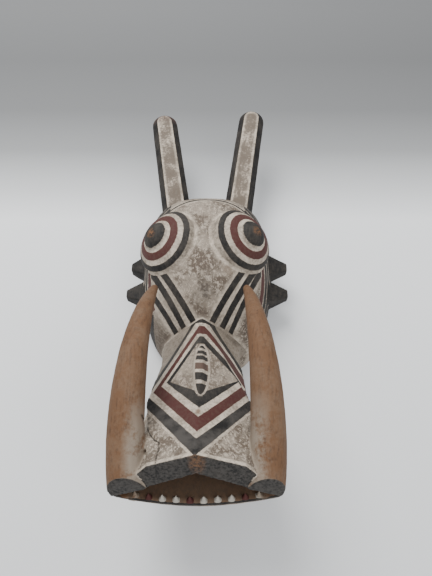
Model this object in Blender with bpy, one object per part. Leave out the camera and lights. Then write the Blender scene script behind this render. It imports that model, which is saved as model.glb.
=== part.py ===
"""A warthog mask carved from one block of wood.

The mask lies on the sawn rim round the wearer's hollow, so that the face looks up and the
snout rises forward over the table. +Y runs from the mouth to the horns, +X is to the right
of someone who looks at the face from the mouth end, and +Z is up. Metres throughout. Sizes
below are measured from the middle of the head, on the table. The last step moves the whole
mask so that the origin lies under the middle of its box.

The form is built as a carver frees it from the log: a domed head, a roof-shaped snout, two
tusks that stand free of the cheeks, horns behind the crown, bulging eyes, studs on the
sides of the head, and then the hollow and the mouth are cut out of it.
"""
import math

import bmesh
import bpy
from mathutils import Matrix, Vector

# Head: arches across, along a squarish crown and a tapering face
HEAD_HALF_WIDTH = 0.081
HEAD_HEIGHT = 0.118
HEAD_TO_CROWN = 0.105
HEAD_TO_CHIN = 0.125
CROWN_PLAN_POWER = 3.2
FACE_PLAN_POWER = 2.3
CROWN_PROFILE_POWER = 2.5
FACE_PROFILE_POWER = 1.6
ARCH_POWER = 2.5
WALL = 0.013
THROAT_WALL = 0.027

# Eyes: turned domes that end in a blunt cone. The profile gives shares of the radius and of
# the peak's height, from the rim inward.
EYE_X = {"left": 0.0475, "right": 0.0435}
EYE_Y = 0.009
EYE_SINK = 0.004
EYE_RADIUS = 0.0384
EYE_PEAK = 0.0240
EYE_LEAN = math.radians(37)
EYE_DEPTH = 0.021
EYE_PROFILE = (
    (1.00, 0.04), (0.87, 0.23), (0.75, 0.38), (0.58, 0.53), (0.43, 0.61),
    (0.42, 0.69), (0.33, 0.84), (0.21, 0.95), (0.09, 0.995),
)

# Horns: flat-topped blades with bevelled sides and a round end
HORN_LENGTH = {"left": 0.148, "right": 0.155}
HORN_ROOT_X = 0.041
HORN_ROOT_Y = 0.090
HORN_ROOT_Z = 0.054
HORN_WIDTH = 0.0375
HORN_TAPER = 0.92
HORN_THICKNESS = 0.018
HORN_BEVEL = 0.0075
HORN_SPLAY = math.radians(8.5)
HORN_RISE = math.radians(9)
HORN_BURIED = 0.030

# Studs: two cut-off pyramids on each side of the head
STUD_Y = (0.008, -0.029)
STUD_Z = 0.036
STUD_LENGTH = {"left": (0.016, 0.021), "right": (0.022, 0.022)}
STUD_BASE = (0.033, 0.030)
STUD_END = (0.010, 0.012)
STUD_BURIED = 0.0078

# Snout: a ridge with two roof slopes, cut off square to its own axis. Snout, jaw and tusks
# sit a little to one side of the head, as the carver left them.
MUZZLE_SHIFT = -0.005
SNOUT_ROOT_Y = -0.080
SNOUT_ROOT_Z = 0.080
SNOUT_ROOT_SIDE_DROP = 0.046
WAIST_Y = -0.126
WAIST_HALF_WIDTH = 0.044
WAIST_SIDE = 0.036
SNOUT_CORNER_Y = -0.180
SNOUT_CORNER_Z = 0.110
SNOUT_CORNER_HALF_WIDTH = 0.050
SNOUT_CORNER_SIDE = 0.028
SNOUT_RIDGE_OVER_CORNER = 0.020
LIP_Y = -0.236
LIP_Z = 0.168
LIP_TILT = math.radians(30)
LIP_HALF_WIDTH = 0.041
LIP_EDGE_DROP = 0.0147
LIP_FLARE = 0.019
LIP_FLARE_DROP = 0.022
RIDGE_FLAT = (0.003, 0.001)
SNOUT_FOOT_LEVEL = 0.0045
LIP_FOOT_LEVEL = 0.0104

# Lower jaw: a slab that rises from the throat and ends in a curved lip
JAW_START_Y = -0.115
JAW_RISE = math.radians(33.7)
JAW_LENGTH = 0.1954
JAW_ROOT_HALF_WIDTH = 0.045
LIP_BEYOND_TEETH = 0.0205
JAW_LIP_BULGE = 0.0095
JAW_LIP_POWER = 1.8
JAW_THICKNESS = 0.0130
TOOTH_COUNT = 10
TOOTH_SPAN = 0.108
TOOTH_WIDTH = 0.0048
TOOTH_HEIGHT = 0.0095
TOOTH_SHANK = 0.0012
TOOTH_INSET = 0.004
TOOTH_BURIED = 0.0065
TOOTH_LEAN = 0.0008

# Mouth: the passage from the wearer's hollow to the lips. The ceiling gives two sizes: how
# far it lies under the ridge in the middle, and how much lower it is at the sides.
CORNER_BEYOND_TEETH = 0.0245
MOUTH_FLARE_LENGTH = 0.016
MOUTH_FLARE_WIDTH = 0.0057
MOUTH_FLOOR_LEVEL = 0.0085
LIP_FLOOR_LEVEL = -0.0030
SNOUT_WALL = 0.012
CEILING = {
    "throat": (0.0300, 0.0080),
    "waist": (0.0180, 0.0160),
    "corner": (0.0180, 0.0130),
    "near the lip": (0.0180, 0.0170),
    "lip": (0.0240, 0.0345),
}

# Tusks: from the mouth corners up, over the cheeks and inward
TUSK_BASE_RADIUS = {"left": 0.0172, "right": 0.0164}
TUSK_TIP_RADIUS = 0.0040
TUSK_TAPER_POWER = 2.2
TUSK_END_TILT = math.radians(23)
TUSK_END_Y = -0.2672
TUSK_END_Z = 0.1113
TUSK_POINT = 0.0028
TUSK_PATH = (
    Vector((0.0600, -0.254, 0.1285)),
    Vector((0.0665, -0.200, 0.1450)),
    Vector((0.0580, -0.120, 0.1780)),
    Vector((0.0495, -0.056, 0.1100)),
)

# Crest: a notched lens along the snout's ridge
CREST_FROM = 0.36
CREST_TO = 0.97
CREST_HALF_WIDTH = 0.0062
CREST_HEIGHT = 0.0055
CREST_FOOT = 0.006
CREST_TOP_SHARE = 0.55
CREST_NOTCHES = 6
CREST_NOTCH_DEPTH = 0.0016

SIDES = {"left": -1, "right": 1}
CUT_MARGIN = 0.02
SMOOTH_BELOW = math.radians(32)

WOOD_COLOUR = (0.55, 0.50, 0.45, 1.0)
WOOD_ROUGHNESS = 0.85


def signed_power(value, power):
    return math.copysign(abs(value) ** power, value)


def bulge(share, power):
    """A curve that falls from 1 at 0 to 0 at 1; a higher power makes it squarer."""
    return max(0.0, 1.0 - abs(share) ** power) ** (1.0 / power)


def head_length(y, inset=0.0):
    """Reach of the head from its middle towards the crown or the chin."""
    return HEAD_TO_CROWN - inset if y > 0 else HEAD_TO_CHIN - inset * THROAT_WALL / WALL


def head_half_width(y, inset=0.0):
    power = CROWN_PLAN_POWER if y > 0 else FACE_PLAN_POWER
    return (HEAD_HALF_WIDTH - inset) * bulge(y / head_length(y, inset), power)


def head_ridge(y, inset=0.0):
    power = CROWN_PROFILE_POWER if y > 0 else FACE_PROFILE_POWER
    return (HEAD_HEIGHT - inset) * bulge(y / head_length(y, inset), power)


def head_height(x, y):
    """Height of the head's skin over a point of the plan."""
    return head_ridge(y) * bulge(x / head_half_width(y), ARCH_POWER)


def head_side(y, z):
    """Half width of the head at one station and height."""
    return head_half_width(y) * bulge(z / head_ridge(y), ARCH_POWER)


def new_object(name, bm):
    """Turns a finished mesh into an object whose faces point out and whose curves look round."""
    bmesh.ops.recalc_face_normals(bm, faces=bm.faces[:])
    mesh = bpy.data.meshes.new(name)
    bm.to_mesh(mesh)
    bm.free()
    mesh.shade_smooth()
    mesh.set_sharp_from_angle(angle=SMOOTH_BELOW)
    piece = bpy.data.objects.new(name, mesh)
    bpy.context.scene.collection.objects.link(piece)
    return piece


def add_loft(bm, rings, tip=None):
    """Adds a closed body through rings of equally many points, with flat ends or one tip."""
    rows = [[bm.verts.new(point) for point in ring] for ring in rings]
    count = len(rows[0])
    for lower, upper in zip(rows, rows[1:]):
        for i in range(count):
            j = (i + 1) % count
            bm.faces.new((lower[i], lower[j], upper[j], upper[i]))
    bm.faces.new(rows[0])
    if tip is None:
        bm.faces.new(rows[-1])
        return
    peak = bm.verts.new(tip)
    for i in range(count):
        bm.faces.new((rows[-1][i], rows[-1][(i + 1) % count], peak))


def loft(name, rings):
    bm = bmesh.new()
    add_loft(bm, rings)
    return new_object(name, bm)


def make_head(name, inset, depth, stations, arch_steps):
    """Arches set one behind another from chin to crown; the hollow is inset by the wall."""
    rings = []
    for station in range(1, stations):
        y = math.sin(math.pi * (station / stations - 0.5))
        y *= head_length(y, inset)
        half = head_half_width(y, inset)
        ring = [(half, y, -depth)]
        for step in range(1, arch_steps):
            angle = math.pi * step / arch_steps
            x = half * signed_power(math.cos(angle), 2.0 / ARCH_POWER)
            z = head_ridge(y, inset) * math.sin(angle) ** (2.0 / ARCH_POWER)
            ring.append((x, y, z))
        ring.append((-half, y, -depth))
        rings.append(ring)
    return loft(name, rings)


def make_eyes():
    """Domes turned about axes that lean outward, rising to a blunt cone."""
    sides = 36
    turn = Matrix.Rotation(EYE_LEAN, 3, "Y")
    profile = [(EYE_RADIUS, -EYE_DEPTH)]
    profile += [(share * EYE_RADIUS, rise * EYE_PEAK) for share, rise in EYE_PROFILE]
    bm = bmesh.new()
    for side, sign in SIDES.items():
        x = EYE_X[side]
        centre = Vector((x, EYE_Y, head_height(x, EYE_Y) - EYE_SINK))
        mirror = Vector((sign, 1.0, 1.0))
        rings = []
        for radius, height in profile:
            ring = []
            for i in range(sides):
                angle = 2.0 * math.pi * i / sides
                local = Vector((radius * math.cos(angle), radius * math.sin(angle), height))
                ring.append((centre + turn @ local) * mirror)
            rings.append(ring)
        peak = centre + turn @ Vector((0.0, 0.0, EYE_PEAK))
        add_loft(bm, rings, tip=peak * mirror)
    return new_object("eyes", bm)


def horn_outline(length, inset, level):
    """The blade's outline at one level of its thickness."""
    arc_steps = 10
    base_half = 0.5 * HORN_WIDTH - inset
    tip_half = 0.5 * HORN_WIDTH * HORN_TAPER - inset
    shoulder = length - 0.5 * HORN_WIDTH * HORN_TAPER
    points = [Vector((base_half, -HORN_BURIED, level))]
    for i in range(arc_steps + 1):
        angle = math.pi * i / arc_steps
        points.append(Vector((tip_half * math.cos(angle), shoulder + tip_half * math.sin(angle), level)))
    points.append(Vector((-base_half, -HORN_BURIED, level)))
    return points


def make_horns():
    """Blades with a flat panel on top, bevelled long sides and a half-round end."""
    layers = (
        (0.22 * HORN_BEVEL, -0.5 * HORN_THICKNESS),
        (0.0, -0.25 * HORN_THICKNESS),
        (0.0, -0.05 * HORN_THICKNESS),
        (HORN_BEVEL, 0.5 * HORN_THICKNESS),
    )
    root = Vector((HORN_ROOT_X, HORN_ROOT_Y, HORN_ROOT_Z))
    turn = Matrix.Rotation(-HORN_SPLAY, 3, "Z") @ Matrix.Rotation(HORN_RISE, 3, "X")
    bm = bmesh.new()
    for side, sign in SIDES.items():
        mirror = Vector((sign, 1.0, 1.0))
        rings = []
        for inset, level in layers:
            outline = horn_outline(HORN_LENGTH[side], inset, level)
            rings.append([(root + turn @ point) * mirror for point in outline])
        add_loft(bm, rings)
    return new_object("horns", bm)


def make_studs():
    """Pyramids with their points cut off, standing straight out of the head's sides."""
    bm = bmesh.new()
    for side, sign in SIDES.items():
        for y, length in zip(STUD_Y, STUD_LENGTH[side]):
            skin = head_side(y, STUD_Z)
            rings = []
            for x, (size_y, size_z) in ((skin - STUD_BURIED, STUD_BASE), (skin + length, STUD_END)):
                low_y, high_y = y - 0.5 * size_y, y + 0.5 * size_y
                low_z, high_z = STUD_Z - 0.5 * size_z, STUD_Z + 0.5 * size_z
                corners = ((low_y, low_z), (high_y, low_z), (high_y, high_z), (low_y, high_z))
                rings.append([(sign * x, corner_y, corner_z) for corner_y, corner_z in corners])
            add_loft(bm, rings)
    return new_object("studs", bm)


def ridge_z(y):
    """Height of the snout's ridge at one station."""
    corner = SNOUT_CORNER_Z + SNOUT_RIDGE_OVER_CORNER
    if y > SNOUT_CORNER_Y:
        share = (SNOUT_ROOT_Y - y) / (SNOUT_ROOT_Y - SNOUT_CORNER_Y)
        return SNOUT_ROOT_Z + share * (corner - SNOUT_ROOT_Z)
    share = (SNOUT_CORNER_Y - y) / (SNOUT_CORNER_Y - LIP_Y)
    return corner + share * (LIP_Z - corner)


def jaw_drop(y, tilt, level):
    """Distance from the ridge, down a plane that leans back, to a level in the jaw's slab."""
    slope = math.tan(JAW_RISE)
    clear = ridge_z(y) - (JAW_START_Y - y) * slope - level / math.cos(JAW_RISE)
    return clear / (math.cos(tilt) + math.sin(tilt) * slope)


def tilted_section(y, tilt, half_points, forward=0.0):
    """A closed section under the ridge; drops are measured down a plane that leans back."""
    down = Vector((0.0, -math.sin(tilt), -math.cos(tilt)))
    ahead = Vector((0.0, -math.cos(tilt), math.sin(tilt)))
    top = Vector((0.0, y, ridge_z(y))) + forward * ahead
    right = [top + Vector((x, 0.0, 0.0)) + drop * down for x, drop in half_points]
    left = [Vector((-point.x, point.y, point.z)) for point in reversed(right) if point.x > 0.0]
    return right + left


def make_snout():
    """The roof-shaped block from inside the head to the cut at the upper lip."""
    buried_y = SNOUT_ROOT_Y + CUT_MARGIN
    waist_share = (SNOUT_ROOT_Y - WAIST_Y) / (SNOUT_ROOT_Y - SNOUT_CORNER_Y)
    waist_roof = waist_share * SNOUT_CORNER_HALF_WIDTH
    waist_drop = waist_share * SNOUT_RIDGE_OVER_CORNER
    flare_half = LIP_HALF_WIDTH + LIP_FLARE
    rings = []
    for y in (buried_y, SNOUT_ROOT_Y):
        rings.append(tilted_section(y, 0.0, (
            (0.0, 0.0),
            RIDGE_FLAT,
            (WAIST_HALF_WIDTH, SNOUT_ROOT_SIDE_DROP),
            (WAIST_HALF_WIDTH, ridge_z(y) + 0.5 * CUT_MARGIN),
        )))
    rings.append(tilted_section(WAIST_Y, 0.0, (
        (0.0, 0.0),
        (waist_roof, waist_drop),
        (WAIST_HALF_WIDTH, waist_drop + WAIST_SIDE),
        (WAIST_HALF_WIDTH, jaw_drop(WAIST_Y, 0.0, SNOUT_FOOT_LEVEL)),
    )))
    rings.append(tilted_section(SNOUT_CORNER_Y, 0.0, (
        (0.0, 0.0),
        (SNOUT_CORNER_HALF_WIDTH, SNOUT_RIDGE_OVER_CORNER),
        (SNOUT_CORNER_HALF_WIDTH, SNOUT_RIDGE_OVER_CORNER + SNOUT_CORNER_SIDE),
        (SNOUT_CORNER_HALF_WIDTH, jaw_drop(SNOUT_CORNER_Y, 0.0, SNOUT_FOOT_LEVEL)),
    )))
    rings.append(tilted_section(LIP_Y, LIP_TILT, (
        (0.0, 0.0),
        (LIP_HALF_WIDTH, LIP_EDGE_DROP),
        (flare_half, LIP_EDGE_DROP + LIP_FLARE_DROP),
        (flare_half, jaw_drop(LIP_Y, LIP_TILT, LIP_FOOT_LEVEL)),
    )))
    return loft("snout", rings)


def bezier(points, share):
    a, b, c, d = points
    rest = 1.0 - share
    return (a * rest ** 3 + b * 3.0 * rest ** 2 * share
            + c * 3.0 * rest * share ** 2 + d * share ** 3)


def bezier_direction(points, share):
    a, b, c, d = points
    rest = 1.0 - share
    slope = (b - a) * rest ** 2 + (c - b) * 2.0 * rest * share + (d - c) * share ** 2
    return slope.normalized()


def tusk_rings(base_radius, stations, sides):
    """Round rings along the tusk's curve; the first one lies in the plane of its cut end."""
    end_normal = Vector((0.0, -math.cos(TUSK_END_TILT), math.sin(TUSK_END_TILT)))
    end_point = Vector((0.0, TUSK_END_Y, TUSK_END_Z))
    rings = []
    for station in range(stations + 1):
        share = station / stations
        centre = bezier(TUSK_PATH, share)
        along = bezier_direction(TUSK_PATH, share)
        across = along.cross(Vector((0.0, 0.0, 1.0))).normalized()
        above = across.cross(along)
        taper = 1.0 - share ** TUSK_TAPER_POWER
        radius = TUSK_TIP_RADIUS + (base_radius - TUSK_TIP_RADIUS) * taper
        ring = []
        for i in range(sides):
            angle = 2.0 * math.pi * i / sides
            point = centre + radius * (across * math.cos(angle) + above * math.sin(angle))
            if station == 0:
                gap = (end_point - point).dot(end_normal) / along.dot(end_normal)
                point = point + along * gap
            ring.append(point)
        rings.append(ring)
    return rings


def make_tusks():
    """Round horns of wood swept along their curve, cut off beside the upper lip."""
    bm = bmesh.new()
    for side, sign in SIDES.items():
        mirror = Vector((sign, 1.0, 1.0))
        rings = tusk_rings(TUSK_BASE_RADIUS[side], stations=20, sides=16)
        rings = [[point * mirror for point in ring] for ring in rings]
        end = bezier(TUSK_PATH, 1.0) + TUSK_POINT * bezier_direction(TUSK_PATH, 1.0)
        add_loft(bm, rings, tip=end * mirror)
    return new_object("tusks", bm)


def jaw_point(x, reach, level=0.0):
    """A point of the jaw: reach runs up its slope from the throat, level out of its underside."""
    y = JAW_START_Y - reach * math.cos(JAW_RISE) + level * math.sin(JAW_RISE)
    z = reach * math.sin(JAW_RISE) + level * math.cos(JAW_RISE)
    return Vector((x, y, z))


def lip_half_width():
    """Half the jaw's width at its lip: the row of teeth and a stretch of bare lip."""
    return 0.5 * TOOTH_SPAN + LIP_BEYOND_TEETH


def lip_reach(x):
    """How far up the slope the lip's front edge lies, for one place across the jaw."""
    return JAW_LENGTH - JAW_LIP_BULGE * abs(x / lip_half_width()) ** JAW_LIP_POWER


def make_jaw():
    """The lower jaw's slab, with a curved lip whose front face is plumb."""
    lip_steps = 18
    rings = []
    for level in (0.0, JAW_THICKNESS):
        trim = (JAW_THICKNESS - level) * math.tan(JAW_RISE)
        outline = [(JAW_ROOT_HALF_WIDTH, -CUT_MARGIN), (JAW_ROOT_HALF_WIDTH, CUT_MARGIN)]
        for i in range(lip_steps + 1):
            x = lip_half_width() * (1.0 - 2.0 * i / lip_steps)
            outline.append((x, lip_reach(x) - trim))
        outline += [(-JAW_ROOT_HALF_WIDTH, CUT_MARGIN), (-JAW_ROOT_HALF_WIDTH, -CUT_MARGIN)]
        rings.append([jaw_point(x, reach, level) for x, reach in outline])
    return loft("jaw", rings)


def make_teeth():
    """Small pointed teeth just behind the lower lip."""
    half = 0.5 * TOOTH_WIDTH
    trim = TOOTH_BURIED * math.tan(JAW_RISE)
    low, high = JAW_THICKNESS - TOOTH_BURIED, JAW_THICKNESS + TOOTH_SHANK
    corners = ((-half, -half), (half, -half), (half, half), (-half, half))
    bm = bmesh.new()
    for index in range(TOOTH_COUNT):
        x = TOOTH_SPAN * (index / (TOOTH_COUNT - 1) - 0.5)
        reach = lip_reach(x) - TOOTH_INSET
        sunk = [jaw_point(x + a, reach + b - trim, low) for a, b in corners]
        neck = [jaw_point(x + a, reach + b, high) for a, b in corners]
        point = jaw_point(x, reach + TOOTH_LEAN, JAW_THICKNESS + TOOTH_HEIGHT)
        add_loft(bm, [sunk, neck], tip=point)
    return new_object("teeth", bm)


def make_crest():
    """A lens that swells out of the ridge and is notched across."""
    steps = 36
    start = SNOUT_ROOT_Y + CREST_FROM * (SNOUT_CORNER_Y - SNOUT_ROOT_Y)
    end = SNOUT_ROOT_Y + CREST_TO * (SNOUT_CORNER_Y - SNOUT_ROOT_Y)
    rings = []
    for step in range(1, steps):
        share = step / steps
        y = start + share * (end - start)
        swell = math.sqrt(math.sin(math.pi * share))
        half = CREST_HALF_WIDTH * swell
        notch = 0.5 - 0.5 * math.cos(2.0 * math.pi * CREST_NOTCHES * share)
        middle = ridge_z(y)
        low = middle - CREST_FOOT
        top = middle + CREST_HEIGHT * swell - CREST_NOTCH_DEPTH * (1.0 - notch)
        narrow = CREST_TOP_SHARE * half
        rings.append([(half, y, low), (half, y, middle), (narrow, y, top),
                      (-narrow, y, top), (-half, y, middle), (-half, y, low)])
    return loft("crest", rings)


def mouth_section(y, tilt, half, place, floor_level, forward=0.0):
    """A section of the passage: its ceiling falls from the middle to the sides."""
    roof, fall = CEILING[place]
    floor = jaw_drop(y, tilt, floor_level)
    return tilted_section(y, tilt, ((0.0, roof), (half, roof + fall), (half, floor)), forward)


def make_mouth_cutter():
    """The passage from the wearer's hollow to the mouth, under the roof and over the jaw."""
    inner = SNOUT_CORNER_HALF_WIDTH - SNOUT_WALL
    narrow = WAIST_HALF_WIDTH - SNOUT_WALL
    root_y = SNOUT_ROOT_Y + 0.75 * CUT_MARGIN
    near_y = LIP_Y + MOUTH_FLARE_LENGTH
    near_half = inner + MOUTH_FLARE_WIDTH
    corner = 0.5 * TOOTH_SPAN + CORNER_BEYOND_TEETH
    lip = (LIP_Y, LIP_TILT, corner, "lip", LIP_FLOOR_LEVEL)
    return loft("mouth_cutter", [
        mouth_section(root_y, 0.0, narrow, "throat", MOUTH_FLOOR_LEVEL),
        mouth_section(WAIST_Y, 0.0, narrow, "waist", MOUTH_FLOOR_LEVEL),
        mouth_section(SNOUT_CORNER_Y, 0.0, inner, "corner", MOUTH_FLOOR_LEVEL),
        mouth_section(near_y, 0.8 * LIP_TILT, near_half, "near the lip", MOUTH_FLOOR_LEVEL),
        mouth_section(*lip),
        mouth_section(*lip, forward=CUT_MARGIN),
    ])


def make_saw_cut():
    """A block under the table plane: it saws the rim flat."""
    size = 1.0
    corners = ((-size, -size), (size, -size), (size, size), (-size, size))
    low = [(x, y, -size) for x, y in corners]
    high = [(x, y, 0.0) for x, y in corners]
    return loft("saw_cut", [low, high])


def combine(body, tool, operation):
    """Joins a carved form to the block, or cuts it out of the block."""
    tool.hide_render = True
    tool.display_type = "WIRE"
    step = body.modifiers.new(tool.name, "BOOLEAN")
    step.operation = operation
    step.solver = "EXACT"
    step.object = tool


def painted_wood():
    material = bpy.data.materials.new("painted_wood")
    material.use_nodes = True
    shader = material.node_tree.nodes["Principled BSDF"]
    shader.inputs["Base Color"].default_value = WOOD_COLOUR
    shader.inputs["Roughness"].default_value = WOOD_ROUGHNESS
    shader.inputs["Metallic"].default_value = 0.0
    return material


def build_mask():
    mask = make_head("mask", 0.0, CUT_MARGIN, stations=30, arch_steps=28)
    mask.data.materials.append(painted_wood())
    snout, crest, tusks, mouth = make_snout(), make_crest(), make_tusks(), make_mouth_cutter()
    jaw, teeth = make_jaw(), make_teeth()
    for piece in (snout, crest, tusks, mouth, jaw, teeth):
        piece.location.x = MUZZLE_SHIFT
    for piece in (make_eyes(), make_horns(), make_studs(), snout, crest, tusks):
        combine(mask, piece, "UNION")
    hollow = make_head("hollow_cutter", WALL, 2.0 * CUT_MARGIN, stations=18, arch_steps=18)
    combine(mask, hollow, "DIFFERENCE")
    combine(mask, mouth, "DIFFERENCE")
    combine(mask, jaw, "UNION")
    combine(mask, teeth, "UNION")
    combine(mask, make_saw_cut(), "DIFFERENCE")
    return mask


def centre_over_origin(mask):
    """Moves the mask and all that shapes it, so that its box stands centred on the origin."""
    graph = bpy.context.evaluated_depsgraph_get()
    corners = [Vector(corner) for corner in mask.evaluated_get(graph).bound_box]
    middle_x = 0.5 * (min(c.x for c in corners) + max(c.x for c in corners))
    middle_y = 0.5 * (min(c.y for c in corners) + max(c.y for c in corners))
    for piece in bpy.context.scene.objects:
        piece.location.x -= middle_x
        piece.location.y -= middle_y


def main():
    for old in list(bpy.data.objects):
        bpy.data.objects.remove(old, do_unlink=True)
    centre_over_origin(build_mask())


main()
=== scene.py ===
# %% [markdown]
# # A painted warthog mask
#
# The real mask is carved from one block of light wood. Its carver cut the big forms with an
# adze, then cut bands into the surface with a knife and filled them with white clay, soot
# black and dark red earth. This lesson loads the carved block as a fixed frame, makes a fine
# skin over it, cuts the bands into that skin, and paints it with nodes.
#
# Lengths in the pattern rules are millimetres, because that is how a carver would measure
# them. Everything else is in metres.

import math

import bmesh
import bpy
import numpy as np
from mathutils import Matrix, Vector, noise


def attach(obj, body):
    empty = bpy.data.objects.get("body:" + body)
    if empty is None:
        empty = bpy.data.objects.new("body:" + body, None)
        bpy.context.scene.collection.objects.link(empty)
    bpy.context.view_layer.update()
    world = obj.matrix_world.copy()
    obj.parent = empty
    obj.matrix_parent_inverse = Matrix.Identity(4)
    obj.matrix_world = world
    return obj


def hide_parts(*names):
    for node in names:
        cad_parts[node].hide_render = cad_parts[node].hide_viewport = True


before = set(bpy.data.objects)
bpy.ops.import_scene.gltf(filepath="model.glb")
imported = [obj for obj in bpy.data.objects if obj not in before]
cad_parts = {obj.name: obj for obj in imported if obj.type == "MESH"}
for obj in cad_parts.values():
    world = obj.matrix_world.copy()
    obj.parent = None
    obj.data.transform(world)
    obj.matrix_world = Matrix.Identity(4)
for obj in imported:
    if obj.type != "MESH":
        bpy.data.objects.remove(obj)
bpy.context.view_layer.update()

# %% [markdown]
# ## One set of rules for two jobs
#
# A painted band on this mask is also a cut band: the paint stops where the knife went. So
# the place of each band is written once, as a rule on x, y and z, and used twice: with arrays
# of points when the skin is cut, and with shader sockets when it is painted. For that, a
# small class wraps a socket and adds a Math node for each operator.

# %% A socket that takes part in sums
class Wire:
    """One output socket of the material that is being built."""
    tree = None

    def __init__(self, socket):
        self.socket = socket

    @classmethod
    def node(cls, kind, settings=None, values=None, out=0):
        """Adds a node: its settings go first, then a value or a wire for each named input."""
        made = cls.tree.nodes.new(kind)
        for name, value in (settings or {}).items():
            if name == "stops":
                cls.set_stops(made.color_ramp, value)
            else:
                setattr(made, name, value)
        for name, value in (values or {}).items():
            if isinstance(value, Wire):
                cls.tree.links.new(value.socket, made.inputs[name])
            else:
                made.inputs[name].default_value = value
        return cls(made.outputs[out])

    @staticmethod
    def set_stops(ramp, stops):
        while len(ramp.elements) < len(stops):
            ramp.elements.new(1.0)
        for element, (place, colour) in zip(ramp.elements, stops):
            element.position = place
            element.color = colour

    def math(self, operation, *others, clamp=False):
        values = dict(enumerate((self,) + others))
        return Wire.node("ShaderNodeMath", {"operation": operation, "use_clamp": clamp}, values)

    def __add__(self, other):
        return self.math("ADD", other)

    def __radd__(self, other):
        return self.math("ADD", other)

    def __sub__(self, other):
        return self.math("SUBTRACT", other)

    def __rsub__(self, other):
        return (self * -1.0).math("ADD", other)

    def __mul__(self, other):
        return self.math("MULTIPLY", other)

    def __rmul__(self, other):
        return self.math("MULTIPLY", other)

    def __truediv__(self, other):
        return self.math("DIVIDE", other)

    def __pow__(self, other):
        return self.math("POWER", other)

    def __abs__(self):
        return self.math("ABSOLUTE")


# %% The few functions that work on arrays and on wires
def least(a, b):
    return a.math("MINIMUM", b) if isinstance(a, Wire) else np.minimum(a, b)


def most(a, b):
    return a.math("MAXIMUM", b) if isinstance(a, Wire) else np.maximum(a, b)


def root(a):
    return a.math("SQRT") if isinstance(a, Wire) else np.sqrt(a)


def inside(distance, soft=0.5):
    """1 where a signed distance is below zero and 0 above it, with a soft edge."""
    share = distance * (-1.0 / soft) + 0.5
    return share.math("ADD", 0.0, clamp=True) if isinstance(share, Wire) else np.clip(share, 0.0, 1.0)


def line(x, y, start, end):
    """Signed distance to the line from start to end, in plan; positive to its right."""
    along = np.array(end, float) - np.array(start, float)
    along /= np.linalg.norm(along)
    return (x - start[0]) * float(along[1]) - (y - start[1]) * float(along[0])


# %% [markdown]
# ## Where the bands run
#
# On the snout the bands lie inside each other like diamonds, so they are written as the edges
# between them. An edge has a blunt apex on the ridge, then a straight line down each side of
# the roof. The two sides differ, as hand work does, so each has its own place and slope. The
# lower half is one line on both sides, back up to the ridge. On the cheeks, three black bars on
# each side run from under the eye to the snout.

# %% The edges of the snout's diamonds, from the outermost to the inner field
PATTERN_X = -4.0
PATTERN_LEAN = 0.04
PATTERN_LEAN_FROM = -150.0
# Apex, then place and slope of the upper left, the upper right and the lower line
DIAMONDS = (
    (-65.5, (-45.0, 1.87), (-50.5, 1.58), (-222.5, 1.00)),
    (-70.9, (-53.9, 1.93), (-60.2, 1.53), (-207.1, 0.93)),
    (-75.4, (-67.5, 1.87), (-73.2, 1.29), (-200.6, 0.97)),
    (-86.9, (-75.6, 1.87), (-81.6, 1.36), (-186.3, 0.95)),
    (-90.5, (-84.6, 1.76), (-89.4, 1.21), (-176.7, 0.90)),
    (-100.6, (-90.9, 1.76), (-98.7, 1.17), (-160.5, 0.50)),
)


def from_ridge(x, y):
    """Distance across from the ridge, positive to the right; the ridge leans near the lip."""
    return x - PATTERN_X + most(PATTERN_LEAN_FROM - y, 0.0) * PATTERN_LEAN


def diamond(index, x, y):
    """Signed distance to one diamond of the snout; negative inside."""
    apex, (left, left_fall), (right, right_fall), (bottom, rise) = DIAMONDS[index]
    aside = from_ridge(x, y)
    upper = most((y - left - aside * left_fall) / math.hypot(1.0, left_fall), y - apex)
    upper = most(upper, (y - right + aside * right_fall) / math.hypot(1.0, right_fall))
    lower = (abs(aside) * rise + bottom - y) / math.hypot(1.0, rise)
    return most(upper, lower)


# %% Cheek bars, and the line where the cheeks meet the snout
# Each bar: its start, its end and half its width
BARS = (
    ((-46.0, -22.1), (-16.1, -65.6), 3.2),
    ((-58.0, -19.9), (-26.3, -71.1), 3.0),
    ((-67.5, -26.5), (-35.7, -74.1), 2.6),
    ((39.1, -18.3), (7.0, -65.8), 3.2),
    ((51.7, -15.6), (17.6, -71.1), 3.0),
    ((61.3, -9.7), (27.7, -74.0), 2.6),
)
CHEEK_LINE_MIDDLE_X = -5.0
CHEEK_LINE_TOP = -64.5
CHEEK_LINE_FALL = 0.43
CHEEK_LINE_HALF = 54.0


def cheek_line(x, y):
    """Signed distance to the line between snout and cheeks; negative on the snout."""
    away = abs(x - CHEEK_LINE_MIDDLE_X)
    above = (y - CHEEK_LINE_TOP + away * CHEEK_LINE_FALL) / math.hypot(1.0, CHEEK_LINE_FALL)
    return most(above, away - CHEEK_LINE_HALF)


def bars(x, y):
    """Signed distance to the nearest black bar of the cheeks."""
    nearest = 99.0 + x * 0.0
    for start, end, half in BARS:
        nearest = least(nearest, abs(line(x, y, start, end)) - half)
    return nearest


# %% The crest's painted notches, from the head's end to the lip's end
CREST_MIDDLE = -132.8
CREST_HALF_LENGTH = 29.5
CREST_HALF_WIDTH = 6.4
CREST_STRIPES = (
    (-103.0, -107.7, "black"), (-110.9, -115.8, "black"), (-118.1, -123.3, "black"),
    (-127.3, -135.0, "brown"), (-138.9, -147.4, "black"), (-151.0, -162.5, "black"),
)
RED_TEETH = (-42.0, -6.0, 42.0)

# %% Long bands on the sides of the head
SIDE_FALL = 0.36
SIDE_BLACK = ((65.0, 72.5), (52.0, 62.5))
SIDE_RED = (75.0, 83.0)


def side_level(y, z):
    """Height on the side of the head, counted along the bands, which fall towards the snout."""
    return z - y * SIDE_FALL


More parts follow.
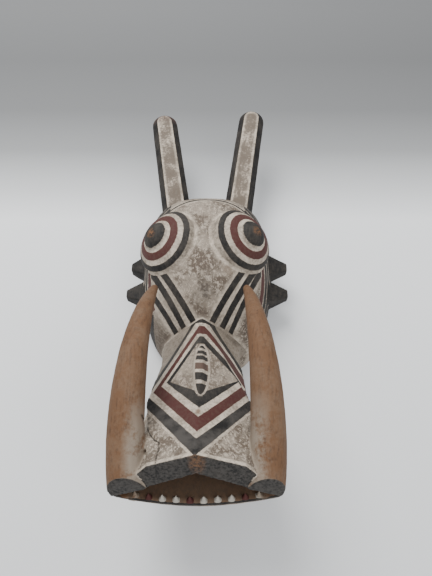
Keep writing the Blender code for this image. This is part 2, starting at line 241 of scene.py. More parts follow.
def band(value, low, high):
    """Signed distance to a band between two levels."""
    return most(low - value, value - high)


# %% [markdown]
# ## The eyes, horns and tusks
#
# Rings round an eye depend on the distance from the eye's own axis. Horns have a flat panel
# between two bevels. A tusk is round wood along a curve. These three are easier to measure
# with arrays, so they are stored on the skin's points as numbers, and the shader reads them.

# %% Places of the eyes, horns and tusks, as carved
EYE_CENTRES = (Vector((-48.75, 23.1, 100.3)), Vector((42.25, 23.1, 103.2)))
EYE_LEAN = math.radians(37)
EYE_RADIUS = 38.4
EYE_RINGS = (0.41, 0.525, 0.735, 0.86)
HORN_ROOT = Vector((41.0, 104.1, 54.0))
HORN_MIDDLE_X = -1.25
HORN_SPLAY = math.radians(8.5)
HORN_RISE = math.radians(9)
HORN_LENGTHS = (148.0, 155.0)
HORN_WIDTH = 37.5
HORN_TAPER = 0.92
HORN_BEVEL = 7.5
HORN_THICKNESS = 18.0
MUZZLE_X = -6.25
TUSK_PATH = np.array(((60.0, -239.9, 128.5), (66.5, -185.9, 145.0),
                      (58.0, -105.9, 178.0), (49.5, -41.9, 110.0)))
TUSK_RADII = (17.2, 16.4)
TUSK_TIP_RADIUS = 4.0
TUSK_TAPER_POWER = 2.2
LIP_CUT = (-221.9, 168.0, math.radians(30))
TUSK_CUT = (-253.1, 111.3, math.radians(23))
SIDES = (-1.0, 1.0)


def eye_share(points):
    """Distance from the nearer eye's axis, as a share of the eye's radius."""
    share = np.full(len(points), 3.0)
    for side, centre in zip(SIDES, EYE_CENTRES):
        axis = np.array((side * math.sin(EYE_LEAN), 0.0, math.cos(EYE_LEAN)))
        offset = points - np.array(centre)
        height = offset @ axis
        reach = np.linalg.norm(offset - height[:, None] * axis, axis=1) / EYE_RADIUS
        reach = np.where(height < -14.0, 3.0, reach)
        share = np.minimum(share, reach)
    return share


def horn_fields(points):
    """How far a point is outside the nearer horn, and outside the panel on its top."""
    horn = np.full(len(points), 99.0)
    panel = np.full(len(points), 99.0)
    turn = Matrix.Rotation(-HORN_SPLAY, 3, "Z") @ Matrix.Rotation(HORN_RISE, 3, "X")
    for side, length in zip(SIDES, HORN_LENGTHS):
        local = (points - np.array((HORN_MIDDLE_X, 0.0, 0.0))) * np.array((side, 1.0, 1.0))
        local = (local - np.array(HORN_ROOT)) @ np.array(turn)
        across, along, level = np.abs(local[:, 0]), local[:, 1], local[:, 2]
        half = 0.5 * HORN_WIDTH * (1.0 - (1.0 - HORN_TAPER) * np.clip(along / length, 0.0, 1.0))
        shoulder = length - half
        beyond = np.maximum(along - shoulder, 0.0)
        reach = np.hypot(across, beyond)
        outside = np.maximum(np.maximum(reach - half, np.abs(level) - 0.5 * HORN_THICKNESS), -along - 26.0)
        horn = np.minimum(horn, outside)
        edge = np.where(level > 0.5 * HORN_THICKNESS - 2.2, reach - (half - HORN_BEVEL), 99.0)
        panel = np.where(outside < 2.5, np.minimum(panel, edge), panel)
    return horn, panel


def tusk_field(points):
    """How far a point is outside the nearer tusk."""
    shares = np.linspace(0.0, 1.0, 90)[:, None]
    rest = 1.0 - shares
    a, b, c, d = TUSK_PATH
    path = a * rest ** 3 + 3 * b * rest ** 2 * shares + 3 * c * rest * shares ** 2 + d * shares ** 3
    distance = np.full(len(points), 99.0)
    for side, base in zip(SIDES, TUSK_RADII):
        local = (points - np.array((MUZZLE_X, 0.0, 0.0))) * np.array((side, 1.0, 1.0))
        near = np.where((local[:, 0] > 15.0) & (local[:, 2] > 60.0) & (local[:, 1] < -15.0))[0]
        gaps = np.linalg.norm(local[near, None, :] - path[None, :, :], axis=2)
        best = gaps.argmin(axis=1)
        share = shares[best, 0]
        radius = TUSK_TIP_RADIUS + (base - TUSK_TIP_RADIUS) * (1.0 - share ** TUSK_TAPER_POWER)
        gap = gaps[np.arange(len(near)), best] - radius
        distance[near] = np.minimum(distance[near], gap)
    return distance


# %% [markdown]
# ## The studs, the mouth and the wearer's hollow
#
# Each stud is a pyramid on the side of the head. The hollow and the passage of the mouth were
# never painted, so the skin has to know which of its points lie inside them: those nearer to
# the inner wall than to the outer one.

# %% The head's own curves
HEAD_MIDDLE = (-1.25, 14.1)
HEAD_HALF_WIDTH = 81.0
HEAD_HEIGHT = 118.0
HEAD_TO_CROWN = 105.0
HEAD_TO_CHIN = 125.0
ARCH_POWER = 2.5
WALL = 13.0
THROAT_WALL = 27.0
STUD_PLACES = (22.1, -14.9)
STUD_HEIGHT = 36.0
STUD_REACH = 17.5


def bulge(share, power):
    return np.clip(1.0 - np.abs(share) ** power, 0.0, 1.0) ** (1.0 / power)


def head_shell(points, inset):
    """Above 1 outside the head's dome, when it is drawn in by inset; below 1 inside."""
    x, y = points[:, 0] - HEAD_MIDDLE[0], points[:, 1] - HEAD_MIDDLE[1]
    back = y > 0
    reach = np.where(back, HEAD_TO_CROWN - inset, HEAD_TO_CHIN - inset * THROAT_WALL / WALL)
    plan = np.where(back, bulge(y / reach, 3.2), bulge(y / reach, 2.3))
    rise = np.where(back, bulge(y / reach, 2.5), bulge(y / reach, 1.6))
    half = np.maximum((HEAD_HALF_WIDTH - inset) * plan, 0.1)
    height = np.maximum((HEAD_HEIGHT - inset) * rise, 0.1)
    level = np.maximum(points[:, 2], 0.0)
    return ((np.abs(x) / half) ** ARCH_POWER + (level / height) ** ARCH_POWER) ** (1.0 / ARCH_POWER)


def stud_field(points):
    """How far a point is from standing out of the head's side, near a stud."""
    outside = (1.012 - head_shell(points, 0.0)) * HEAD_HALF_WIDTH
    nearest = np.full(len(points), 99.0)
    for place in STUD_PLACES:
        aside = np.maximum(np.abs(points[:, 1] - place), np.abs(points[:, 2] - STUD_HEIGHT)) - STUD_REACH
        nearest = np.minimum(nearest, aside)
    far = np.where(np.abs(points[:, 0]) < 70.0, 99.0, -99.0)
    return np.maximum(np.maximum(outside, nearest), far)


# %% The snout's roof and the jaw
# Sections of the snout from its root to the lip: places across, and drops below the ridge
RIDGE = ((-236.0, 168.0), (-221.9, 168.0), (-165.9, 130.0), (-65.9, 80.0), (-40.0, 67.0))
SNOUT_SECTIONS = (
    (-221.9, (0.0, 41.0, 60.0, 90.0), (0.0, 14.7, 36.7, 60.0)),
    (-165.9, (0.0, 50.0, 52.0, 90.0), (0.0, 20.0, 48.0, 60.0)),
    (-111.9, (0.0, 23.0, 44.0, 90.0), (0.0, 9.2, 45.2, 60.0)),
    (-65.9, (0.0, 3.0, 44.0, 90.0), (0.0, 1.0, 46.0, 60.0)),
)
WALL_MIDDLE = ((-250.0, 84.0), (-225.0, 52.0), (-165.9, 44.0), (-111.9, 38.0), (-65.9, 38.0))
SKIN_DEPTH = 7.0
JAW_START_Y = -100.9
JAW_RISE = math.radians(33.7)
JAW_THICKNESS = 13.0
JAW_LENGTH = 195.4
JAW_LIP_HALF = 74.5
JAW_LIP_BULGE = 9.5
JAW_LIP_POWER = 1.8


def between(pairs, value):
    return np.interp(value, [pair[0] for pair in pairs], [pair[1] for pair in pairs])


def roof_height(x, y):
    """Height of the snout's outer skin over a point of the plan."""
    away = np.abs(x - MUZZLE_X)
    drops = np.array([np.interp(away, places, falls) for _, places, falls in SNOUT_SECTIONS])
    stations = [section[0] for section in SNOUT_SECTIONS]
    step = np.interp(y, stations, range(len(stations)))
    low = np.minimum(step.astype(int), len(stations) - 2)
    share = step - low
    index = np.arange(len(y))
    return between(RIDGE, y) - drops[low, index] * (1.0 - share) - drops[low + 1, index] * share


def jaw_level(y, z):
    """Height over the jaw's underside, square to it."""
    return z * math.cos(JAW_RISE) - (JAW_START_Y - y) * math.sin(JAW_RISE)


def behind_jaw_lip(x, y, z):
    """Distance from the lower lip's front edge, back along the jaw's slope."""
    reach = (JAW_START_Y - y) * math.cos(JAW_RISE) + z * math.sin(JAW_RISE)
    return JAW_LENGTH - abs((x - MUZZLE_X) / JAW_LIP_HALF) ** JAW_LIP_POWER * JAW_LIP_BULGE - reach


def bare_field(points):
    """Below zero inside the hollow or the mouth, where the wood was left bare."""
    x, y, z = points.T
    hollow = (head_shell(points, 0.5 * WALL) - 1.0) * HEAD_HALF_WIDTH
    passage = np.maximum(np.abs(x - MUZZLE_X) - between(WALL_MIDDLE, y), z - roof_height(x, y) + SKIN_DEPTH)
    passage = np.maximum(passage, 0.5 * JAW_THICKNESS - jaw_level(y, z))
    passage = np.maximum(passage, y + 65.0)
    return np.minimum(hollow, passage)


def cut_distance(points, cut):
    """Distance in front of a plane that leans back from the mouth."""
    y, z, tilt = cut
    return (y - points[:, 1]) * math.cos(tilt) + (points[:, 2] - z) * math.sin(tilt)


# %% [markdown]
# ## A fine skin over the carved block
#
# The block's faces are large and flat, as fits a solid. A voxel remesh gives points about a
# millimetre apart all over it, and a few rounds of smoothing wear its edges as years of
# handling do. Its own mesh isn't touched: the skin starts from a copy.

# %% Remesh and wear down
VOXEL = 0.0012
WEAR_ROUNDS = 5
MOST_TRIANGLES = 190000


def applied(piece, kind, settings):
    """Runs one modifier on a piece and keeps its result."""
    step = piece.modifiers.new(kind.lower(), kind)
    for name, value in settings.items():
        setattr(step, name, value)
    graph = bpy.context.evaluated_depsgraph_get()
    mesh = bpy.data.meshes.new_from_object(piece.evaluated_get(graph))
    piece.modifiers.clear()
    piece.data = mesh
    return piece


def points_of(mesh):
    flat = np.zeros(len(mesh.vertices) * 3, np.float32)
    mesh.vertices.foreach_get("co", flat)
    return flat.reshape(-1, 3).astype(float)


skin = bpy.data.objects.new("mask_skin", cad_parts["mask"].data.copy())
bpy.context.scene.collection.objects.link(skin)
welded = bmesh.new()
welded.from_mesh(skin.data)
bmesh.ops.remove_doubles(welded, verts=welded.verts[:], dist=0.000002)
welded.to_mesh(skin.data)
welded.free()
applied(skin, "REMESH", {"mode": "VOXEL", "voxel_size": VOXEL, "use_smooth_shade": True})
applied(skin, "SMOOTH", {"factor": 0.5, "iterations": WEAR_ROUNDS})
print("skin points:", len(skin.data.vertices))

# %% [markdown]
# ## Cutting the bands
#
# Each black or red band stands a little proud, and the white lines between lie lower. Over
# that lie the long shallow facets that the adze left, the crack beside the left tusk, and a
# fine unevenness.

# %% Relief
BAND_HEIGHT = 0.45
SNOUT_BANDS_LOWEST = 45.0
CHEEK_BANDS_LOWEST = 55.0
CHEEK_BANDS_TOP_Y = -5.0
BANDS_CLEAR_OF_EDGES = 1.0
BANDS_CLEAR_OF_LINE = 1.5
FACET_HEIGHT = 0.35
FACET_SIZE = (9.0, 16.0, 9.0)
FACET_MEAN = 0.35
CRACK_DEPTH = 1.0
CRACK_HALF = 0.7
CRACK_SOFT = 0.8
CRACK_LOWEST = 110.0
CRACK = ((-54.0, -186.0), (-51.0, -194.5), (-48.0, -200.1), (-43.3, -205.6), (-38.5, -208.0),
         (-38.0, -214.0), (-39.3, -220.5), (-39.6, -236.0))


def polyline_distance(x, y, corners):
    nearest = np.full(len(x), 99.0)
    for start, end in zip(corners, corners[1:]):
        start, end = np.array(start), np.array(end)
        along = end - start
        share = ((x - start[0]) * along[0] + (y - start[1]) * along[1]) / (along @ along)
        share = np.clip(share, 0.0, 1.0)
        gap = np.hypot(x - start[0] - share * along[0], y - start[1] - share * along[1])
        nearest = np.minimum(nearest, gap)
    return nearest


def fields(points):
    """All that is measured with arrays, for one set of points in millimetres."""
    horn, panel = horn_fields(points)
    tusk = tusk_field(points)
    return {
        "eye": eye_share(points),
        "horn": horn,
        "panel": panel,
        "tusk": tusk,
        "stud": stud_field(points),
        "bare": bare_field(points),
        "cut": np.where(tusk < 1.6, cut_distance(points, TUSK_CUT), cut_distance(points, LIP_CUT)),
        "crack": polyline_distance(points[:, 0], points[:, 1], CRACK),
    }


def raised_bands(points, found):
    """1 where black or red paint stands proud, 0 in the white grooves."""
    x, y, z = points.T
    rings = inside(diamond(0, x, y)) - inside(diamond(1, x, y))
    rings += inside(diamond(2, x, y)) - inside(diamond(3, x, y))
    rings += inside(diamond(4, x, y)) - inside(diamond(5, x, y))
    on_snout = inside(cheek_line(x, y)) * inside(SNOUT_BANDS_LOWEST - z)
    on_cheek = inside(BANDS_CLEAR_OF_LINE - cheek_line(x, y)) * inside(y - CHEEK_BANDS_TOP_Y)
    on_cheek = on_cheek * inside(CHEEK_BANDS_LOWEST - z)
    stripes = inside(bars(x, y)) * on_cheek
    eye = found["eye"]
    pupil, white, red, outer = EYE_RINGS
    in_eye = inside((eye - 1.0) * EYE_RADIUS)
    ring = inside((eye - pupil) * EYE_RADIUS)
    ring += inside((eye - red) * EYE_RADIUS) - inside((eye - white) * EYE_RADIUS)
    ring += in_eye - inside((eye - outer) * EYE_RADIUS)
    free = inside(BANDS_CLEAR_OF_EDGES - found["tusk"]) * inside(-found["bare"])
    free = free * inside(BANDS_CLEAR_OF_EDGES + found["cut"])
    return np.maximum(rings * on_snout, stripes) * (1.0 - in_eye) * free + ring * in_eye


def facets(points):
    """Shallow overlapping facets, longer along the grain than across it."""
    height = np.zeros(len(points))
    for index, place in enumerate(points / np.array(FACET_SIZE)):
        near = noise.voronoi(Vector(place))[0]
        height[index] = near[0] - FACET_MEAN
    return height


points = points_of(skin.data) * 1000.0
found = fields(points)
normals = np.zeros(len(points) * 3, np.float32)
skin.data.vertex_normals.foreach_get("vector", normals)
normals = normals.reshape(-1, 3)
height = BAND_HEIGHT * raised_bands(points, found)
height += FACET_HEIGHT * facets(points)
in_crack = inside(found["crack"] - CRACK_HALF, CRACK_SOFT) * inside(CRACK_LOWEST - points[:, 2])
height -= CRACK_DEPTH * in_crack
points += normals * height[:, None]
skin.data.vertices.foreach_set("co", (points / 1000.0).astype(np.float32).ravel())
skin.data.update()
share = min(1.0, MOST_TRIANGLES / (2.0 * len(skin.data.polygons)))
applied(skin, "DECIMATE", {"ratio": share})
skin.data.shade_smooth()
print("relief from", round(float(height.min()), 2), "to", round(float(height.max()), 2), "mm")
print("skin triangles:", sum(len(face.vertices) - 2 for face in skin.data.polygons))

# %% Store the measured fields on the skin
for name, values in fields(points_of(skin.data) * 1000.0).items():
    layer = skin.data.attributes.new(name, "FLOAT", "POINT")
    layer.data.foreach_set("value", values.astype(np.float32))

# %% [markdown]
# ## Paint
#
# Clay white, soot black and red earth lie on the wood in thin dry coats. The white is dirty
# where hands and smoke reached it and stays brightest beside the knife lines, the black has
# gone grey in places, and on the tusks the paint is gone and the brown wood shows its pores.
# The shader starts from the white ground and lays one paint after another over it, each with
# a ragged edge.

# %% Colours
CLAY = (0.255, 0.213, 0.166, 1.0)
BRIGHT_CLAY = (0.53, 0.455, 0.365, 1.0)
# Dusty clay and dirt also make the painted shade and dirt of the lower left cheek
DUSTY_CLAY_AND_SHADE = (0.132, 0.107, 0.082, 1.0)
DIRT_AND_SHADE = (0.105, 0.078, 0.057, 1.0)
SMOKE = (0.052, 0.045, 0.038, 1.0)
BLACK = (0.0065, 0.0058, 0.0052, 1.0)
WORN_BLACK = (0.045, 0.038, 0.031, 1.0)
GREY_BLACK = (0.062, 0.056, 0.050, 1.0)
RED = (0.060, 0.0145, 0.0115, 1.0)
WORN_RED = (0.072, 0.032, 0.024, 1.0)
TUSK_WOOD = (0.125, 0.062, 0.028, 1.0)
TUSK_DARK = (0.062, 0.031, 0.016, 1.0)
TUSK_DUST = (0.172, 0.112, 0.070, 1.0)
BARE_WOOD = (0.165, 0.103, 0.064, 1.0)
# Painted shade for the back of the mouth
DEEP_MOUTH_SHADE = (0.030, 0.016, 0.011, 1.0)
WORN_WOOD = (0.18, 0.083, 0.033, 1.0)
TOOTH_WHITE = (0.38, 0.35, 0.30, 1.0)


def mix(under, over, share):
    values = {"Factor": share, 6: under, 7: over}
    return Wire.node("ShaderNodeMix", {"data_type": "RGBA"}, values, out=2)


def mottle(where, scale, detail=3.0, rough=0.55):
    values = {"Vector": where, "Scale": scale, "Detail": detail, "Roughness": rough}
    return Wire.node("ShaderNodeTexNoise", {}, values)


def ramp(value, low, high):
    """0 below low, 1 above high."""
    return ((value - low) * (1.0 / (high - low))).math("ADD", 0.0, clamp=True)


def spot(centre, radius, soft):
    """1 near one place of the plan, fading out at the radius."""
    across, along = x - centre[0], y - centre[1]
    return inside(root(across * across + along * along) - radius + waver * 3.0, soft)


# %% The shader's own places
material = bpy.data.materials.new("painted_wood_skin")
material.use_nodes = True
Wire.tree = material.node_tree
shader = material.node_tree.nodes["Principled BSDF"]
place = Wire.node("ShaderNodeTexCoord", out="Object")
scaled = {"operation": "MULTIPLY"}
stretched = Wire.node("ShaderNodeVectorMath", scaled, {0: place, 1: (1.0, 0.2, 1.0)})
x, y, z = [Wire.node("ShaderNodeSeparateXYZ", {}, {0: place}, out=axis) * 1000.0 for axis in range(3)]


def stored(name):
    return Wire.node("ShaderNodeAttribute", {"attribute_name": name}, {}, out="Fac")


eye, horn, panel, stud = (stored(name) for name in ("eye", "horn", "panel", "stud"))
tusk, bare, cut, crack = (stored(name) for name in ("tusk", "bare", "cut", "crack"))

# %% Where single paints begin and end
SNOUT_LOWEST = 30.0
SNOUT_LOWER_Y = -176.0
CROWN_Y, CROWN_CURVE, CROWN_HALF, CROWN_LOWEST = 86.0, 0.0085, 2.0, 60.0
BACK_Y, BACK_LOWEST = 92.0, 84.0
CHEEK_FRONT_Y, CHEEK_RIM_Y, CHEEK_RIM_AWAY = -119.0, -50.0, 58.0
BARS_TOP_Y, BARS_TOP_LEVEL = -4.0, 84.5
SIDE_NEAREST_X, SIDE_FRONT_Y, SIDE_PLAIN_LEVEL = 45.0, -48.0, 49.0
EYE_WORN_SHARE, EYE_WHITE_SHARE = 0.13, 1.07
PANEL_EDGE, HORN_TIP_Y, HORN_PAINT_REACH = 2.6, 236.0, 1.2
MOUTH_DEEP, JAW_RIM_WIDTH, JAW_FOOT_Y = 45.0, 2.0, -112.0
TOOTH_LEVELS, TOOTH_REACH, TOOTH_ZONE, RED_TOOTH_HALF = (13.8, 25.5), (0.5, 11.5), 59.0, 4.0
SMEAR_AWAY, SMEAR_Y = 59.0, -185.0
CHIN_SPOT, LIP_SPOT = (-5.9, -180.5), (MUZZLE_X + 1.0, -226.0)

# %% Noises that the paints share
waver = (mottle(place, 170.0, 2.0) - 0.5) * 1.5
ragged = (mottle(place, 850.0, 3.0) - 0.5) * 1.3 + waver
smudge = mottle(place, 42.0, 5.0, 0.62)
patches = mottle(place, 17.0, 3.0, 0.5)
flakes = mottle(place, 330.0, 4.0, 0.7)
speck = mottle(place, 1300.0, 2.0, 0.7)
streak = mottle(stretched, 420.0, 4.0, 0.65)
cells = {"feature": "DISTANCE_TO_EDGE"}
crazing = Wire.node("ShaderNodeTexVoronoi", cells, {"Vector": place, "Scale": 120.0})

# %% [markdown]
# ## White ground, black and red
#
# The white is brightest beside a knife line, so the distance to the nearest line comes first.
# Then the four paints are mixed once each, and every later step only says where they lie.

# %% How far each place is from the nearest knife line
level = side_level(y, z)
from_cheek = cheek_line(x, y)
on_snout = inside(from_cheek) * inside(SNOUT_LOWEST - z)
crown = abs(y - CROWN_Y + x * x * CROWN_CURVE) - CROWN_HALF
lines = least(least(bars(x, y), (eye - 1.0) * EYE_RADIUS), abs(crown))
lines = least(lines, abs(from_cheek) - 0.5)
clean = inside(lines - 3.0 + ragged * 2.0, 3.5)

# %% White ground with its smudges
ground = mix(CLAY, DUSTY_CLAY_AND_SHADE, ramp(smudge, 0.45, 0.54))
ground = mix(ground, DIRT_AND_SHADE, ramp(patches * 0.3 + smudge * 0.7, 0.49, 0.55) * 0.9)
ground = mix(ground, BRIGHT_CLAY, ramp(flakes * 0.6 + streak * 0.4, 0.50, 0.57) * 0.75)
ground = mix(ground, SMOKE, ramp(speck * 0.4 + flakes * 0.6, 0.55, 0.62) * 0.85)
ground = mix(ground, SMOKE, inside(crazing - 0.014, 0.018) * ramp(patches, 0.44, 0.54) * 0.7)
white = mix(BRIGHT_CLAY, CLAY, ramp(flakes * 0.5 + smudge * 0.5, 0.42, 0.58))
white = mix(white, SMOKE, ramp(speck, 0.64, 0.74) * 0.5)
dark = mix(BLACK, WORN_BLACK, ramp(flakes * 0.2 + streak * 0.3 + smudge * 0.5, 0.43, 0.60) * 0.9)
dark = mix(dark, DUSTY_CLAY_AND_SHADE, ramp(speck * 0.6 + flakes * 0.4, 0.62, 0.68) * 0.6)
earth = mix(RED, WORN_RED, ramp(flakes * 0.5 + streak * 0.5, 0.45, 0.62))
earth = mix(earth, SMOKE, ramp(speck, 0.62, 0.72) * 0.5)
colour = mix(ground, white, clean * 0.85)

# %% Smudges of the forehead
for centre, radius, soft, paint, share in (
        ((-2.5, 50.7), 9.0, 10.0, DIRT_AND_SHADE, 0.7), ((-1.0, 20.0), 7.0, 12.0, DIRT_AND_SHADE, 0.45),
        ((23.5, -14.9), 7.0, 6.0, TUSK_WOOD, 0.7), ((-4.0, -40.0), 10.0, 14.0, SMOKE, 0.55)):
    where = spot(centre, radius, soft) * (1.0 - clean)
    colour = mix(colour, paint, where * ramp(smudge, 0.38, 0.56) * share)

# %% [markdown]
# ## Painting the snout, cheeks and head
#
# Each band is laid over the one outside it, so a diamond needs only its own outer edge. The
# cheeks follow, then the sides of the head and the line over the crown.

# %% Snout: side facets, then the diamonds from the outside in
facet = mix(DUSTY_CLAY_AND_SHADE, CLAY, ramp(flakes * 0.6 + smudge * 0.4, 0.42, 0.56))
facet = mix(facet, SMOKE, ramp(speck * 0.4 + flakes * 0.6, 0.54, 0.62) * 0.7)
lower = inside(y - SNOUT_LOWER_Y, 6.0)
snout = mix(facet, ground, lower)
snout = mix(snout, white, inside(diamond(0, x, y) - 2.4 + ragged) * lower)
snout = mix(snout, white, inside(abs(cut + 2.5) - 1.7 + ragged * 0.7) * lower)
inner = mix(ground, CLAY, 0.2)
grey = mix(dark, GREY_BLACK, lower * ramp(smudge, 0.36, 0.56) * 0.8)
for index, paint in enumerate((grey, white, earth, white, dark, inner)):
    snout = mix(snout, paint, inside(diamond(index, x, y) + ragged * 0.6))
colour = mix(colour, snout, on_snout)

# %% The crest's notches, painted across
away = abs(from_ridge(x, y))
along = (y - CREST_MIDDLE) * (1.0 / CREST_HALF_LENGTH)
lens = away - root(most(1.0 - along * along, 0.0)) * CREST_HALF_WIDTH
crest = white
for near, far, name in CREST_STRIPES:
    paint = {"black": dark, "brown": mix(DIRT_AND_SHADE, WORN_RED, 0.5)}[name]
    crest = mix(crest, paint, inside(band(y, far, near) + ragged * 0.4))
on_crest = on_snout * inside(abs(along) - 1.05, 0.05)
colour = mix(colour, white, on_crest * inside(lens - 2.2 + ragged * 0.6) * 0.8)
colour = mix(colour, crest, on_crest * inside(lens + ragged * 0.3))
colour = mix(colour, BARE_WOOD, on_snout * spot(CHIN_SPOT, 2.2, 2.0) * 0.8)

# %% Cheek bars and the long bands of the sides
beyond = inside(1.6 - from_cheek) * inside(CHEEK_FRONT_Y - y)
side = beyond * inside(SIDE_NEAREST_X - abs(x)) * inside(SIDE_FRONT_Y - y)
for low, high in SIDE_BLACK:
    colour = mix(colour, dark, inside(band(level, low, high) + ragged * 0.7) * side)
colour = mix(colour, earth, inside(band(level, *SIDE_RED) + ragged * 0.7) * side)
colour = mix(colour, dark, inside(level - SIDE_PLAIN_LEVEL + ragged) * side)
rim = inside(y - CHEEK_RIM_Y) * beyond
# Painted shade and dirt: the lower left cheek, under the tusk and away from the bars, is darkened with dirt
# colours.
lower_cheek_shade_and_dirt = inside(y + 52.0, 14.0) * beyond * inside(6.0 - bars(x, y), 6.0) * inside(x)
colour = mix(colour, mix(DIRT_AND_SHADE, DUSTY_CLAY_AND_SHADE, ramp(flakes, 0.42, 0.60)), lower_cheek_shade_and_dirt * 0.75)
colour = mix(colour, dark, inside(CHEEK_RIM_AWAY - abs(x - CHEEK_LINE_MIDDLE_X) + ragged * 2.0) * rim)
cheek = beyond * inside(y - BARS_TOP_Y) * inside(BARS_TOP_LEVEL - level)
colour = mix(colour, dark, inside(bars(x, y) + ragged * 0.6) * cheek)

# %% Crown line and the bare back
colour = mix(colour, dark, inside(crown + ragged) * inside(CROWN_LOWEST - z))
back_wood = mix(BARE_WOOD, DIRT_AND_SHADE, ramp(streak * 0.5 + smudge * 0.5, 0.42, 0.58) * 0.8)
colour = mix(colour, back_wood, inside(BACK_Y - y, 3.0) * inside(z - BACK_LOWEST, 14.0) * 0.95)

# %% [markdown]
# ## Painting the eyes, horns, mouth and tusks
#
# These parts were measured with arrays, so the shader reads their fields. The teeth are painted
# after the lip, because they stand in front of it. The tusks come last: their paint is gone.

# %% Eyes
pupil, inner_white, red, outer = EYE_RINGS
wobble = ragged * 0.75
eye_paint = dark
for share, paint in ((outer, white), (red, earth), (inner_white, white), (pupil, dark)):
    eye_paint = mix(eye_paint, paint, inside((eye - share) * EYE_RADIUS + wobble))
worn_tip = inside((eye - EYE_WORN_SHARE) * EYE_RADIUS + waver * 4.0, 5.0) * ramp(flakes, 0.38, 0.58)
eye_paint = mix(eye_paint, WORN_WOOD, worn_tip * 0.8)
colour = mix(colour, white, inside((eye - EYE_WHITE_SHARE) * EYE_RADIUS + wobble))
colour = mix(colour, eye_paint, inside((eye - 1.0) * EYE_RADIUS + wobble * 0.5))

# %% Studs and horns
colour = mix(colour, dark, inside(stud + waver))
worn_panel = inside(panel + PANEL_EDGE + ragged * 1.5, 2.5) * ramp(smudge * 0.6 + flakes * 0.4, 0.36, 0.50)
horn_white = mix(white, mix(DIRT_AND_SHADE, DUSTY_CLAY_AND_SHADE, ramp(flakes, 0.42, 0.60)), worn_panel * 0.9)
horn_paint = mix(dark, horn_white, inside(panel + ragged * 0.5))
tip = inside(HORN_TIP_Y - y, 14.0) * inside(x) * ramp(flakes, 0.34, 0.52)
horn_paint = mix(horn_paint, WORN_RED, tip * 0.85)
colour = mix(colour, horn_paint, inside(horn - HORN_PAINT_REACH))

# %% Mouth: bare brown wood and a thin black rim
behind = behind_jaw_lip(x, y, z)
# Painted shade: the bare wood is darkened deeper into the mouth, from about 45 mm behind the lower lip.
deep = inside(MOUTH_DEEP - behind, 30.0)
mouth = mix(BARE_WOOD, DIRT_AND_SHADE, ramp(streak, 0.45, 0.65) * 0.6)
mouth = mix(mouth, DEEP_MOUTH_SHADE, deep * 0.35)
over_jaw = jaw_level(y, z)
mouth = mix(mouth, BLACK, inside(JAW_THICKNESS + 10.0 - over_jaw) * inside(-26.0 - cut, 4.0))
colour = mix(colour, mouth, inside(bare))
jaw_rim = inside(behind - JAW_RIM_WIDTH + ragged * 0.4) * inside(over_jaw - JAW_THICKNESS - 1.0)
colour = mix(colour, dark, jaw_rim)
colour = mix(colour, BARE_WOOD, inside(over_jaw - 3.0) * inside(y - JAW_FOOT_Y))

# %% Upper lip and teeth
lip_worn = spot(LIP_SPOT, 6.0, 6.0)
lip_dark = mix(dark, GREY_BLACK, ramp(flakes * 0.4 + streak * 0.6, 0.42, 0.60) * 0.9)
lip_paint = mix(lip_dark, WORN_WOOD, lip_worn * ramp(flakes, 0.35, 0.6) * 0.7)
colour = mix(colour, lip_paint, inside(-1.0 - cut + ragged * 0.3) * inside(16.0 - over_jaw))
tooth_paint = TOOTH_WHITE
for tooth in RED_TEETH:
    tooth_paint = mix(tooth_paint, RED, inside(abs(x - MUZZLE_X - tooth) - RED_TOOTH_HALF))
tooth = inside(band(over_jaw, *TOOTH_LEVELS), 0.3) * inside(band(behind, *TOOTH_REACH))
colour = mix(colour, tooth_paint, tooth * inside(abs(x - MUZZLE_X) - TOOTH_ZONE))
# %% Tusks, and the crack beside the left one
tusk_paint = mix(TUSK_WOOD, TUSK_DARK, ramp(streak, 0.50, 0.68) * 0.7)
tusk_paint = mix(tusk_paint, TUSK_DUST, ramp(smudge * 0.6 + flakes * 0.4, 0.46, 0.62) * 0.5)
tusk_paint = mix(tusk_paint, TUSK_DARK, ramp(speck * 0.6 + flakes * 0.4, 0.60, 0.68) * 0.7)
smear = inside(abs(x - MUZZLE_X) - SMEAR_AWAY + waver * 5.0, 9.0) * inside(y - SMEAR_Y, 40.0)
tusk_paint = mix(tusk_paint, CLAY, smear * ramp(flakes * 0.3 + smudge * 0.7, 0.38, 0.52) * 0.85)
colour = mix(colour, tusk_paint, inside(tusk - 0.9) * inside(cut + 0.9))
# Painted shadow: the crack beside the left tusk is also painted black, below the crack's lowest height.
colour = mix(colour, BLACK, inside(crack - 0.6 + ragged * 0.2) * inside(CRACK_LOWEST - z) * 0.8)

# %% Bump and roughness
relief = streak * 0.5 + flakes * 0.4 + speck * 0.4
bumped = Wire.node("ShaderNodeBump", {}, {"Strength": 0.4, "Distance": 0.0009, "Height": relief})
Wire.tree.links.new(colour.socket, shader.inputs["Base Color"])
Wire.tree.links.new((streak * 0.2 + 0.66).socket, shader.inputs["Roughness"])
Wire.tree.links.new(bumped.socket, shader.inputs["Normal"])
shader.inputs["Specular IOR Level"].default_value = 0.35
skin.data.materials.clear()
skin.data.materials.append(material)
print("shader nodes:", len(Wire.tree.nodes))

# %% The skin stands for the carved block
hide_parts("mask")
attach(skin, "root")

# %% [markdown]
# ## Floor, light and camera
#
# The mask lies on a pale surface under soft light from above and behind, so its shadow falls
# towards the viewer. The camera looks down at it from the mouth's side.

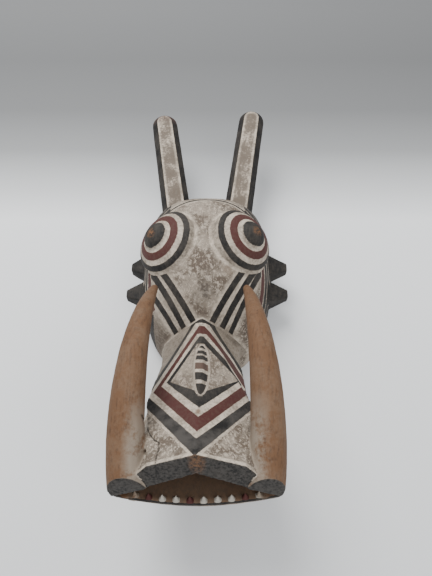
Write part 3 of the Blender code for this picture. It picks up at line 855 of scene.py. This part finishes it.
# %% Floor: a pale sheet that darkens towards the back
FLOOR_NEAR, FLOOR_FAR = -0.40, 0.70
FLOOR_TONES = ((-0.40, 0.69), (0.0, 0.81), (0.124, 0.82), (0.178, 0.577), (0.2565, 0.292),
               (0.343, 0.185), (0.465, 0.152), (0.605, 0.169))
floor_mesh = bpy.data.meshes.new("floor")
FLOOR_REACH = 6.0
corners = [(FLOOR_REACH * a, FLOOR_REACH * b, 0.0) for a, b in ((-1, -1), (1, -1), (1, 1), (-1, 1))]
floor_mesh.from_pydata(corners, [], [(0, 1, 2, 3)])
floor = bpy.data.objects.new("floor", floor_mesh)
bpy.context.scene.collection.objects.link(floor)
paper = bpy.data.materials.new("pale_floor")
paper.use_nodes = True
Wire.tree = paper.node_tree
paper_shader = paper.node_tree.nodes["Principled BSDF"]
floor_place = Wire.node("ShaderNodeTexCoord", out="Object")
depth = Wire.node("ShaderNodeSeparateXYZ", {}, {0: floor_place}, out="Y")
FLOOR_LENGTH = FLOOR_FAR - FLOOR_NEAR
FLOOR_RED = 0.985
stops = [((far - FLOOR_NEAR) / FLOOR_LENGTH, (t * FLOOR_RED, t, t, 1.0)) for far, t in FLOOR_TONES]
ramp_place = (depth - FLOOR_NEAR) * (1.0 / FLOOR_LENGTH)
tone = Wire.node("ShaderNodeValToRGB", {"stops": stops}, {"Fac": ramp_place})
Wire.tree.links.new(tone.socket, paper_shader.inputs["Base Color"])
paper_shader.inputs["Roughness"].default_value = 0.9
floor_mesh.materials.append(paper)

# %% Lights
def add_light(name, place, target, size, power):
    data = bpy.data.lights.new(name, "AREA")
    data.shape = "DISK"
    data.size = size
    data.energy = power
    lamp = bpy.data.objects.new(name, data)
    lamp.location = place
    lamp.rotation_euler = (Vector(target) - Vector(place)).to_track_quat("-Z", "Y").to_euler()
    bpy.context.scene.collection.objects.link(lamp)


add_light("window", (-0.5, 0.9, 1.5), (0.0, 0.0, 0.05), 1.1, 36.0)
add_light("fill", (0.6, -0.9, 1.4), (0.0, 0.0, 0.05), 1.5, 10.0)
world = bpy.data.worlds.new("room")
world.use_nodes = True
world.node_tree.nodes["Background"].inputs["Color"].default_value = (0.94, 0.96, 1.0, 1.0)
world.node_tree.nodes["Background"].inputs["Strength"].default_value = 0.85
bpy.context.scene.world = world

# %% Camera
CAMERA_HEIGHT_ANGLE = math.radians(63)
CAMERA_DISTANCE = 0.641
CAMERA_AIM = Vector((0.01025, 0.0141, 0.0))
PICTURE_HEIGHT = 576.0
FOCAL_PIXELS = 480.0
SENSOR = 24.0
view = Vector((0.0, math.cos(CAMERA_HEIGHT_ANGLE), -math.sin(CAMERA_HEIGHT_ANGLE)))
lens = bpy.data.cameras.new("camera")
lens.sensor_fit = "VERTICAL"
lens.sensor_height = SENSOR
lens.lens = SENSOR * FOCAL_PIXELS / PICTURE_HEIGHT
camera = bpy.data.objects.new("camera", lens)
camera.location = CAMERA_AIM - CAMERA_DISTANCE * view
camera.rotation_euler = view.to_track_quat("-Z", "Y").to_euler()
bpy.context.scene.collection.objects.link(camera)
bpy.context.scene.camera = camera
